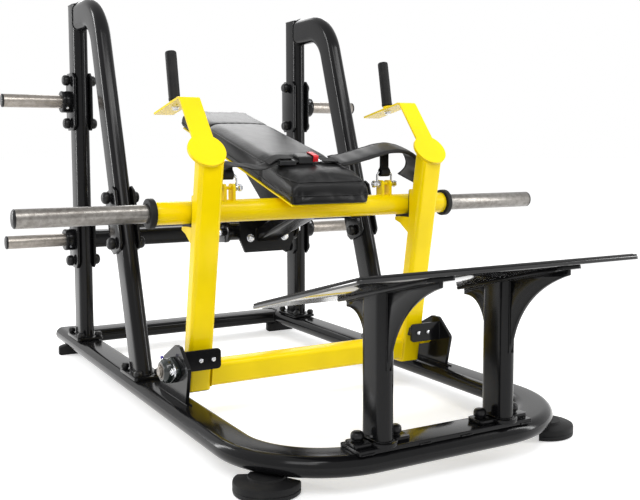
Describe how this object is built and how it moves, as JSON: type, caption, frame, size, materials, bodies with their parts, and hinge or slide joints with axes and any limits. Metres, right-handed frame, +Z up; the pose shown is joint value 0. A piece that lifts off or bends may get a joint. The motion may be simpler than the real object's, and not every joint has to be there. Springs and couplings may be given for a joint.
{
  "type": "hip thrust bench",
  "caption": "Plate-loaded hip thrust bench with a tilting pad carriage and load bar, swing-away bar rack arms, lap belt, footplate and plate storage horns.",
  "frame": {"origin": "on the floor, under the middle of the machine's overall box", "axes": "+X to the machine's left seen from behind the posts, that is to the right in a front view; +Y from the footplate towards the rear posts; +Z up"},
  "size_m": [1.6926, 2.011, 1.27],
  "materials": {
    "black_paint": "gloss",
    "yellow_paint": "gloss",
    "black_rubber": "matte",
    "sleeve_steel": "scuffed",
    "horn_steel": "scuffed",
    "black_vinyl": "satin",
    "webbing": "matte",
    "black_plastic": "satin",
    "red_plastic": "gloss"
  },
  "bodies": {
    "frame": {"base_frame": "black_paint", "rear_post_left": "black_paint", "rear_post_right": "black_paint", "front_leg_left": "black_paint", "front_leg_right": "black_paint", "horn_socket_lower_left": "black_paint", "horn_socket_lower_right": "black_paint", "horn_socket_upper_left": "black_paint", "horn_socket_upper_right": "black_paint", "post_clamp_left": "black_paint", "post_clamp_right": "black_paint", "leg_clamp_left": "black_paint", "leg_clamp_right": "black_paint", "rear_cross_beam": "black_paint", "main_cross_beam": "black_paint", "footplate": "black_paint", "foot_post_left": "black_paint", "foot_post_right": "black_paint", "arm_bracket_left": "black_paint", "arm_bracket_right": "black_paint", "flange_bearing_left": "black_paint", "flange_bearing_right": "black_paint", "rail_end_cap_left": "black_rubber", "rail_end_cap_right": "black_rubber", "foot_front_left": "black_rubber", "foot_front_right": "black_rubber", "foot_rear_left": "black_rubber", "foot_rear_right": "black_rubber", "stop_bumper_left": "black_rubber", "stop_bumper_right": "black_rubber", "storage_horn_lower_left": "horn_steel", "storage_horn_lower_right": "horn_steel", "storage_horn_upper_left": "horn_steel", "storage_horn_upper_right": "horn_steel"},
    "rack_arms": {"rack_frame": "yellow_paint", "arm_cap_left": "yellow_paint", "arm_cap_right": "yellow_paint", "grip_left": "black_rubber", "grip_right": "black_rubber", "cradle_liner_left": "black_rubber", "cradle_liner_right": "black_rubber"},
    "carriage": {"load_bar": "yellow_paint", "sleeve_collar_left": "black_rubber", "sleeve_collar_right": "black_rubber", "sleeve_left": "sleeve_steel", "sleeve_right": "sleeve_steel", "sleeve_end_cap_left": "black_rubber", "sleeve_end_cap_right": "black_rubber", "carriage_spine": "black_paint", "pad_plate": "yellow_paint", "pad": "black_vinyl", "belt_left": "webbing", "belt_right": "webbing", "belt_adjuster": "black_plastic", "belt_buckle": "black_plastic", "belt_tongue": "sleeve_steel"},
    "buckle_button": {"buckle_button": "red_plastic"},
    "shackle_left": {"shackle_left": "sleeve_steel"},
    "shackle_right": {"shackle_right": "sleeve_steel"}
  },
  "joints": [
    {"name": "rack_swing", "type": "hinge", "parent": "frame", "child": "rack_arms", "pos_m": [0, -0.132, 0.165], "axis": [1, 0, 0], "range_deg": [0, 10]},
    {"name": "carriage_tilt", "type": "hinge", "parent": "frame", "child": "carriage", "pos_m": [0, 0.215, 0.5], "axis": [1, 0, 0], "range_deg": [-22, 0]},
    {"name": "buckle_press", "type": "slide", "parent": "carriage", "child": "buckle_button", "axis": [-1, 0, 0], "range_m": [0, 0.003], "stiffness_N_per_m": 400},
    {"name": "shackle_swing_left", "type": "hinge", "parent": "carriage", "child": "shackle_left", "pos_m": [-0.262, -0.12, 0.657], "axis": [1, 0, 0], "range_deg": [-8, 8]},
    {"name": "shackle_swing_right", "type": "hinge", "parent": "carriage", "child": "shackle_right", "pos_m": [0.262, -0.12, 0.657], "axis": [1, 0, 0], "range_deg": [-8, 8]}
  ]
}
